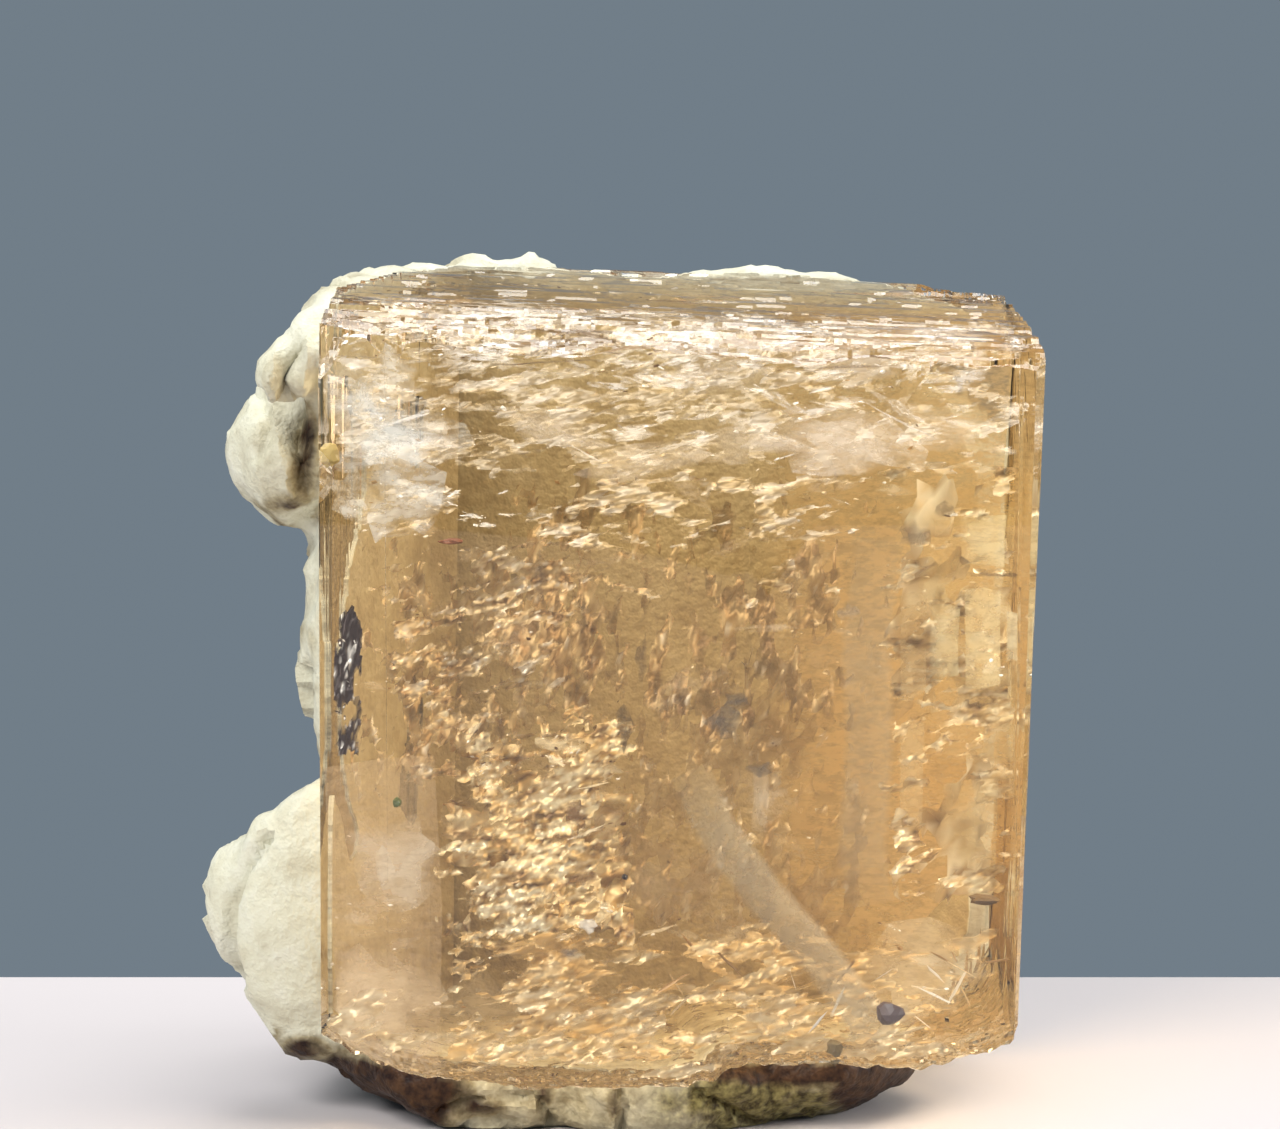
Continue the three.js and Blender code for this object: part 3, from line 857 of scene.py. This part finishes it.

# Smoky smudges, and large pale films that brighten the lower crystal, milky haze and painted light
# together: place in the photograph, depth, radius in millimetres, flatness, colour and haze.
SMUDGES_AND_GLOW_FILMS = [
    ((915, 537), 2, 0.8, 0.8, (0.16, 0.12, 0.08), 0.6),
    ((848, 612), 2, 0.45, 0.9, (0.38, 0.30, 0.20), 0.7),
    ((722, 722), 2, 0.9, 0.8, (0.10, 0.09, 0.08), 0.75),
    ((738, 700), 2.5, 0.6, 0.8, (0.09, 0.08, 0.07), 0.8),
    ((624, 728), 2, 0.45, 2.2, (0.07, 0.045, 0.02), 0.8),
    ((642, 660), 2.5, 0.28, 4, (0.14, 0.08, 0.03), 0.7),
    ((540, 580), 2.5, 0.32, 4, (0.15, 0.09, 0.04), 0.65),
    ((760, 770), 3, 0.7, 0.5, (0.12, 0.10, 0.08), 0.75),
    # Pale films in the lower right: milky haze and painted light
    ((930, 975), 7, 3.2, 0.8, (1.0, 0.88, 0.66), 0.5),
    ((870, 990), 8, 2.6, 0.8, (1.0, 0.88, 0.66), 0.4),
    ((945, 510), 2.5, 0.5, 0.7, (0.16, 0.12, 0.08), 0.55),
    ((570, 955), 1.6, 0.65, 0.5, (0.15, 0.13, 0.12), 0.75),
    ((575, 815), 1.6, 0.6, 1.1, (0.16, 0.07, 0.02), 0.85),
    ((583, 880), 1.6, 0.75, 0.5, (0.19, 0.10, 0.035), 0.8),
    ((588, 926), 1.4, 0.5, 0.7, (1.0, 0.97, 0.90), 1),
    ((650, 890), 5, 1.2, 0.9, (0.40, 0.32, 0.22), 0.35),
    ((980, 540), 5, 0.6, 0.5, (0.45, 0.33, 0.18), 0.5),
    # Pale films on the left, low down: milky haze and painted light
    ((393, 868), 2.5, 1.9, 1.0, (0.92, 0.84, 0.72), 0.5),
    ((400, 850), 4, 1.5, 1.2, (0.92, 0.84, 0.72), 0.5),
    ((385, 1000), 5, 2.4, 1.0, (1.0, 0.86, 0.66), 0.55),
    ((360, 1010), 7, 2.2, 1.2, (1.0, 0.86, 0.66), 0.5),
    ((480, 1010), 9, 3.0, 0.6, (1.0, 0.86, 0.62), 0.45),
]


@dataclass
class Slivers:
    """Closed slivers: their box in the photograph, depth, number, radius, flatness, and the middle
    and the spread of their lean."""
    box: tuple
    depth: tuple
    count: int
    size: tuple
    flat: float = None
    lean: tuple = None


# The brown-black seam near the left edge, dark slivers of painted shade in the open cleavage lines along
# the frayed front edge of the top, and the needle cracks in the lower right. The seam's slivers lie every
# way and differ in flatness.
DARK_SEAM = Slivers((336, 618, 358, 752), (0.7, 2.2), 12, (0.15, 0.4))
SEAM_FLAT = (0.3, 0.9)
EDGE_SHADOW_LINES = Slivers((480, 296, 1034, 350), (0.08, 0.9), 260, (0.3, 1.9), 0.12, (0.05, 0.04))
NEEDLES = Slivers((640, 940, 1005, 1058), (0.8, 7), 46, (0.3, 1.0), 0.1, (0, 0.8))
EDGE_SHADOW_TONES = (SEAM_BROWN, BARK, BARK, TAN, CREAM)
NEEDLE_TONES = (CREAM, GOLD, GOLD, TAN, TAN)
# Glints before the seam: their radius and how far before its slivers they stand in millimetres, and
# their flatness
GLINT_SIZE = 0.1
GLINT_AHEAD = 0.2
GLINT_FLAT = 0.5


def within(tree, point, clearance):
    """Whether a point lies in the crystal, some way from its skin."""
    if tree.find_nearest(point)[3] <= clearance:
        return False
    crossings = 0
    above = tree.ray_cast(point, UPWARD)[0]
    while above is not None:
        crossings += 1
        above = tree.ray_cast(above + UPWARD * SKIN_STEP * MM, UPWARD)[0]
    return crossings % 2 == 1


def kept_in(tree, centre, offset):
    """An offset from a point of the crystal, shortened where it would leave the crystal."""
    length = offset.length
    if length == 0:
        return offset
    clearance = FILM_CLEARANCE * MM
    gap = tree.ray_cast(centre, offset / length, length + clearance)[3]
    return offset if gap is None else offset * max(0.02, (gap - clearance) / length)


class Inclusions:
    """Everything inside the crystal, gathered into a few meshes."""

    def __init__(self, tree, seed):
        self.tree = tree
        self.draw = random.Random(seed)
        self.films = [], [], [], [], []
        self.facets = [], [], [], []
        self.crumbs = [], [], []
        self.grains = [], [], []

    def add_lens(self, centre, turn, size, squeeze, tone):
        """A closed sliver: a flat ragged ring with a low point on each side."""
        points, faces, tones = self.crumbs
        draw = self.draw
        first = len(points)
        sides = draw.randint(4, 5)
        start = draw.uniform(0, math.tau)
        ring = []
        for corner in range(sides):
            angle = start + math.tau * corner / sides
            reach = size * draw.uniform(*RAGGED_REACH)
            flat = Vector((math.cos(angle) * reach, math.sin(angle) * reach * squeeze, 0))
            ring.append(centre + turn @ flat)
        if not all(within(self.tree, corner, LENS_CLEARANCE * MM) for corner in ring):
            return
        high = turn @ Vector((0, 0, size * squeeze * LENS_THICKNESS))
        points += ring + [centre + high, centre - high]
        for corner in range(sides):
            a = first + corner
            b = first + (corner + 1) % sides
            faces.append((a, b, first + sides))
            faces.append((b, a, first + sides + 1))
        tones += [tone] * (sides + 2)

    def add_film(self, centre, turn, outline, edge, tone, haze, veined):
        """A hazy film inside an outline, fading towards the edge where the edge's share is low."""
        if not within(self.tree, centre, FILM_CLEARANCE * MM):
            return
        points, faces, tones, hazes, veins = self.films
        first = len(points)
        count = len(outline)
        points.append(centre)
        hazes.append(haze)
        for ring in range(1, FILM_RINGS + 1):
            out = ring / FILM_RINGS
            for corner, share in zip(outline, edge):
                flat = Vector((corner[0], corner[1], 0)) * out
                flat.z = FILM_BULGE * flat.length * noise.noise((centre + flat) / MM * 0.8)
                points.append(centre + kept_in(self.tree, centre, turn @ flat))
                hazes.append(haze * (1 - out * out * (1 - share)))
        for ring in range(FILM_RINGS):
            outer = first + 1 + ring * count
            inner = outer - count
            for side in range(count):
                after = (side + 1) % count
                if ring == 0:
                    faces.append((first, outer + side, outer + after))
                else:
                    faces.append((inner + side, outer + side, outer + after, inner + after))
        tones += [tone] * (len(points) - first)
        veins += [veined] * (len(points) - first)

    def sheet_point(self, zone, number, px, py):
        """A crumpled face at a pixel: its place, its place among the streaks, and its cover."""
        draw = self.draw
        x0, y0, x1, y1 = zone.box
        depth = zone.depth
        depth += zone.wave * noise.noise(Vector((px, py, WAVES_APART * number)) * WAVE_PITCH)
        depth += zone.lean[0] * (px - (x0 + x1) / 2) / 100
        depth += zone.lean[1] * (py - (y0 + y1) / 2) / 100
        spot = inside(px, py, max(NEAREST_SHEET, depth + draw.gauss(0, zone.rough)))
        along = px * math.cos(zone.slant) + py * math.sin(zone.slant)
        aside = py * math.cos(zone.slant) - px * math.sin(zone.slant)
        layer = STREAKS_APART * number + depth * STREAK_DEPTH
        place = Vector((along * STREAK_LENGTH, aside * STREAK_WIDTH, layer))
        inset = min(px - x0, x1 - px, (py - y0) * 1.5, (y1 - py) * 1.5)
        cover = 0.5 + 0.5 * noise.fractal(place, 0.7, 2, 5) + draw.gauss(0, COVER_SCATTER)
        cover += PATCH_STRENGTH * noise.noise(Vector((px, py, PATCHES_APART * number)) * PATCH_PITCH)
        cover -= zone.bare + EDGE_THINNING * max(0, 1 - inset / zone.soft)
        return spot, place, cover

    def add_fracture(self, zone, number):
        """A crumpled, streaky face that breaks up into patches."""
        points, faces, tones, hazes = self.facets
        draw = self.draw
        x0, y0, x1, y1 = zone.box
        wide, high = zone.pitch
        across = math.ceil((x1 - x0) / wide)
        down = math.ceil((y1 - y0) / high)
        first = len(points)
        shown = []
        for j in range(down + 1):
            for i in range(across + 1):
                px = x0 + (i + draw.uniform(-CORNER_SHIFT, CORNER_SHIFT)) * wide
                py = y0 + (j + draw.uniform(-CORNER_SHIFT, CORNER_SHIFT)) * high
                spot, place, cover = self.sheet_point(zone, number, px, py)
                points.append(spot)
                tones.append(self.shade(zone, place))
                hazes.append(zone.haze * held(HAZE_LEAST + cover * HAZE_RISE))
                shown.append(cover > COVER_LEAST and within(self.tree, spot, FILM_CLEARANCE * MM))
        row = across + 1
        for j in range(down):
            for i in range(across):
                a = j * row + i
                for corners in ((a, a + 1, a + row), (a + 1, a + row + 1, a + row)):
                    if all(shown[k] for k in corners):
                        faces.append(tuple(first + k for k in corners))

    def shade(self, zone, place):
        """Colour of a crumpled face at a place of its streaks, now and then a glint."""
        draw = self.draw
        middle, spread = zone.shade
        share = middle + spread * noise.fractal(place * SHADE_PITCH + SHADE_SHIFT, 0.6, 2, 5)
        if draw.random() < zone.glint:
            share = draw.choice((1, 1, 0.1))
        share = max(0, min(0.999, share)) * (len(zone.tones) - 1)
        step = int(share)
        return Vector(zone.tones[step]).lerp(zone.tones[step + 1], share - step)

    def ragged(self, size, squeeze):
        """Outline of a ragged film, with the share of haze left at each corner."""
        draw = self.draw
        outline = []
        for side in range(FILM_SIDES):
            angle = math.tau * side / FILM_SIDES
            reach = size * draw.uniform(*RAGGED_REACH)
            outline.append((math.cos(angle) * reach, math.sin(angle) * reach * squeeze))
        return outline, [draw.choice((0, 0, 0.8)) for _ in range(FILM_SIDES)]

    def facing(self, zone):
        """A turn whose Z looks along the zone's facing, scattered, with X kept level."""
        scatter = Vector([self.draw.gauss(0, zone.scatter) for _ in range(3)])
        out = (Vector(zone.facing) + scatter).normalized()
        level = Vector((1, 0, 0)) - out * out.x
        level = Matrix.Rotation(self.draw.gauss(0, FILM_SPIN), 3, out) @ level.normalized()
        return Matrix((level, out.cross(level), out)).transposed()

    def add_crack(self, centre, zone, tone):
        """A film with crumbs strewn over it."""
        draw = self.draw
        size = draw.uniform(*zone.size) * MM
        squeeze = draw.uniform(*zone.flat)
        turn = self.facing(zone)
        outline, edge = self.ragged(size, squeeze)
        shade = draw.uniform(*FILM_SHADE)
        tone = tuple(channel * shade for channel in tone)
        haze = zone.haze * draw.uniform(*FILM_HAZE)
        self.add_film(centre, turn, outline, edge, tone, haze, zone.veined)
        for _ in range(zone.crumbs):
            angle = draw.uniform(0, math.tau)
            reach = size * math.sqrt(draw.random()) * CRUMB_REACH
            off = draw.gauss(0, CRUMB_SCATTER * MM)
            spot = Vector((math.cos(angle) * reach, math.sin(angle) * reach * squeeze, off))
            pick = draw.random()
            shade = next(colour for share, colour in zone.split if pick <= share)
            angle = draw.gauss(0, CRUMB_LEAN)
            lean = Matrix.Rotation(angle, 3, (draw.gauss(0, 1), draw.gauss(0, 1), 0.1))
            low, high = zone.grain
            grain = (low + (high - low) * draw.random() ** 2) * MM
            self.add_lens(centre + turn @ spot, turn @ lean, grain, draw.uniform(*CRUMB_FLAT), shade)

    def somewhere(self, zone):
        """A random place in a zone's box and depth."""
        x0, y0, x1, y1 = zone.box
        draw = self.draw
        return inside(draw.uniform(x0, x1), draw.uniform(y0, y1), draw.uniform(*zone.depth))

    def add_zones(self):
        """The clusters of cracks, the crumpled faces, and the cracks close under the top."""
        for zone in CRACK_ZONES:
            for _ in range(zone.films):
                self.add_crack(self.somewhere(zone), zone, zone.tone)
        for number, zone in enumerate(FRACTURES):
            self.add_fracture(zone, number)
        draw = self.draw
        span = CRYSTAL_HIGH - CRYSTAL_LOW
        for _ in range(TOP_CRACKS.films):
            x = CRYSTAL_LOW.x + span.x * draw.uniform(*TOP_WIDTH)
            y = CRYSTAL_LOW.y + span.y * draw.uniform(*TOP_DEPTH)
            hit = self.tree.ray_cast(Vector((x, y, CRYSTAL_HIGH.z + MM)), Vector((0, 0, -1)))[0]
            if hit is not None:
                under = hit - Vector((0, 0, draw.uniform(*TOP_BELOW) * MM))
                self.add_crack(under, TOP_CRACKS, draw.choice(TOP_TONES))

    def add_blocks(self):
        """Flat stepped panes of painted golden light and reflection, and soft smudges and pale films, level
        and upright.
        """
        draw = self.draw
        # Panes of painted golden light and reflection
        for (x0, y0, x1, y1), depth, tone, haze, left in GOLDEN_GLOW_PANES:
            centre = inside((x0 + x1) / 2, (y0 + y1) / 2, depth)
            corner = inside(x1, y0, depth) - centre
            w, h = corner.x, corner.z
            square = [(-w, -h), (0, -h), (w, -h), (w, 0), (w, h), (0, h), (-w, h), (-w, 0)]
            outline = [(x * draw.uniform(*PANE_EDGE), z * draw.uniform(*PANE_EDGE)) for x, z in square]
            tilt = Matrix.Rotation(draw.gauss(0, PANE_TILT), 3, "Z")
            half = (left + PANE_RIGHT) / 2
            edge = [left, half, PANE_RIGHT, PANE_RIGHT, PANE_RIGHT, half, left, left]
            self.add_film(centre, tilt @ UPRIGHT, outline, edge, tone, haze, PANE_VEINED)
        for (px, py), depth, size, squeeze, tone, haze in SMUDGES_AND_GLOW_FILMS:
            outline, edge = self.ragged(size * MM, squeeze)
            self.add_film(inside(px, py, depth), UPRIGHT, outline, edge, tone, haze, SMUDGE_VEINED)

    def add_bands(self):
        """Milky bands that swell towards the front and fade at their sides and ends."""
        points, faces, tones, hazes, veins = self.films
        row = len(BAND_PROFILE)
        for line, half, depth, tone, haze in GROWTH_BANDS:
            first = len(points)
            for k, (px, py) in enumerate(line):
                before = Vector(line[max(0, k - 1)])
                after = Vector(line[min(len(line) - 1, k + 1)])
                along = (after - before).normalized()
                fade = BAND_END if k in (0, len(line) - 1) else 1
                for across, share in BAND_PROFILE:
                    swell = BAND_SWELL * (1 - across * across)
                    x = px - along.y * half * across
                    y = py + along.x * half * across
                    points.append(inside(x, y, depth - swell))
                    hazes.append(haze * fade * share)
            for k in range(len(line) - 1):
                for j in range(row - 1):
                    a = first + k * row + j
                    faces.append((a, a + 1, a + row + 1, a + row))
            tones += [tone] * (len(points) - first)
            veins += [BAND_VEINED] * (len(points) - first)

    def add_grains(self):
        """The lumpy grains caught in the crystal."""
        points, faces, tones = self.grains
        ball = bmesh.new()
        bmesh.ops.create_icosphere(ball, subdivisions=2, radius=1)
        ball.verts.ensure_lookup_table()
        for (px, py), depth, radius, stretch, tone in GRAINS:
            centre = inside(px, py, depth)
            first = len(points)
            for vert in ball.verts:
                lump = 1 + 0.45 * noise.noise(vert.co * 1.6 + centre / MM)
                points.append(centre + vert.co * Vector(stretch) * lump * radius * MM)
            faces += [tuple(first + vert.index for vert in face.verts) for face in ball.faces]
            tones += [tone] * len(ball.verts)
        ball.free()

    def add_slivers(self):
        """The dark seam, the painted shade in the open lines at the edge of the top, and the needles."""
        draw = self.draw
        for _ in range(DARK_SEAM.count):
            turn = Matrix.Rotation(draw.uniform(0, math.tau), 3, [draw.gauss(0, 1) for _ in range(3)])
            spot = self.somewhere(DARK_SEAM)
            size = draw.uniform(*DARK_SEAM.size) * MM
            self.add_lens(spot, turn, size, draw.uniform(*SEAM_FLAT), SEAM_BROWN)
            ahead = spot - Vector((0, GLINT_AHEAD * MM, 0))
            self.add_lens(ahead, turn, GLINT_SIZE * MM, GLINT_FLAT, CREAM)
        # Dark slivers, painted shade in the open lines under the top's front edge
        for _ in range(EDGE_SHADOW_LINES.count):
            lean = Matrix.Rotation(draw.gauss(*EDGE_SHADOW_LINES.lean), 3, "Y")
            tone = draw.choice(EDGE_SHADOW_TONES)
            spot = self.somewhere(EDGE_SHADOW_LINES)
            self.add_lens(spot, lean, draw.uniform(*EDGE_SHADOW_LINES.size) * MM, EDGE_SHADOW_LINES.flat, tone)
        for _ in range(NEEDLES.count):
            spin = Matrix.Rotation(draw.uniform(0, math.tau), 3, "X")
            upright = Matrix.Rotation(math.pi / 2, 3, "Y") @ spin
            lean = Matrix.Rotation(draw.gauss(*NEEDLES.lean), 3, "Y")
            tone = draw.choice(NEEDLE_TONES)
            spot = self.somewhere(NEEDLES)
            self.add_lens(spot, lean @ upright, draw.uniform(*NEEDLES.size) * MM, NEEDLES.flat, tone)

    def finish(self, veil, facet, crumb, mineral):
        """Makes a piece of each kind of inclusion."""
        for name, (points, faces, tones, *shares), material, smooth in (
                ("cleavage_veils", self.films, veil, True), ("crack_facets", self.facets, facet, True),
                ("cleavage_crumbs", self.crumbs, crumb, False),
                ("mineral_grains", self.grains, mineral, False)):
            mesh = mesh_from(name, points, faces)
            set_colours(mesh, "tone", tones)
            for attribute, values in zip(("haze", "veined"), shares):
                set_floats(mesh, attribute, values)
            drop_loose(mesh)
            self.place(name, mesh, material, smooth)

    def place(self, name, mesh, material, smooth):
        """Puts a mesh of inclusions in the crystal; they are too thin to throw a shadow."""
        piece = new_object(name, mesh)
        piece.visible_shadow = False
        dress(piece, material, smooth)


# Stage, light and camera

FLOOR_HALF_WIDTH = 0.2
FLOOR_FRONT = -0.2
FLOOR_BACK = 0.02
FLOOR_TONE = (0.72, 0.66, 0.65, 1)
BACKDROP_TONE = (0.165, 0.208, 0.248, 1)


def build_stage():
    w = FLOOR_HALF_WIDTH
    corners = [(-w, FLOOR_FRONT, 0), (w, FLOOR_FRONT, 0), (w, FLOOR_BACK, 0), (-w, FLOOR_BACK, 0)]
    floor = new_object("floor", mesh_from("floor", corners, [(0, 1, 2, 3)]))
    n = Nodes("floor")
    floor.data.materials.append(n.finish(n.principled(base_color=FLOOR_TONE, roughness=0.5)))


def softbox(name, place, aim, size, power):
    data = bpy.data.lights.new(name, "AREA")
    data.shape = "RECTANGLE"
    data.size, data.size_y = size
    data.energy = power
    lamp = new_object(name, data)
    lamp.location = place
    lamp.rotation_euler = (Vector(aim) - Vector(place)).to_track_quat("-Z", "Y").to_euler()


def build_light():
    middle = (0, 0, 0.016)
    softbox("key", (-0.16, -0.16, 0.22), middle, (0.16, 0.16), 0.72)
    softbox("top", (0.02, 0.06, 0.28), middle, (0.2, 0.2), 0.62)
    softbox("right", (0.25, -0.02, 0.08), middle, (0.14, 0.14), 0.4)
    world = bpy.data.worlds.new("studio")
    bpy.context.scene.world = world
    world.use_nodes = True
    world.node_tree.nodes["Background"].inputs["Color"].default_value = BACKDROP_TONE


def build_camera():
    forward = camera_axes()[2]
    data = bpy.data.cameras.new("camera")
    data.sensor_width = SENSOR_WIDTH_MM
    data.lens = FOCAL_PIXELS / IMAGE_WIDTH * SENSOR_WIDTH_MM
    data.clip_start = 0.01
    camera = new_object("camera", data)
    camera.location = CAMERA_AIM - CAMERA_DISTANCE * forward
    camera.rotation_euler = forward.to_track_quat("-Z", "Y").to_euler()
    bpy.context.scene.camera = camera


def main():
    scene = bpy.context.scene
    scene.view_settings.view_transform = "Standard"
    scene.cycles.max_bounces = 4
    scene.cycles.diffuse_bounces = 1
    scene.cycles.glossy_bounces = 2
    scene.cycles.transmission_bounces = 4
    scene.cycles.transparent_max_bounces = 8
    crystal = tree_of(crystal_piece(topaz_material()))
    noise.seed_set(PLATE_SEED)
    matrix_piece(albite_material(), crystal)
    inclusions = Inclusions(crystal, INCLUSION_SEED)
    inclusions.add_zones()
    inclusions.add_blocks()
    inclusions.add_bands()
    inclusions.add_grains()
    inclusions.add_slivers()
    inclusions.finish(veil_material(), facet_material(), crumb_material(), mineral_material())
    build_stage()
    build_light()
    build_camera()


main()
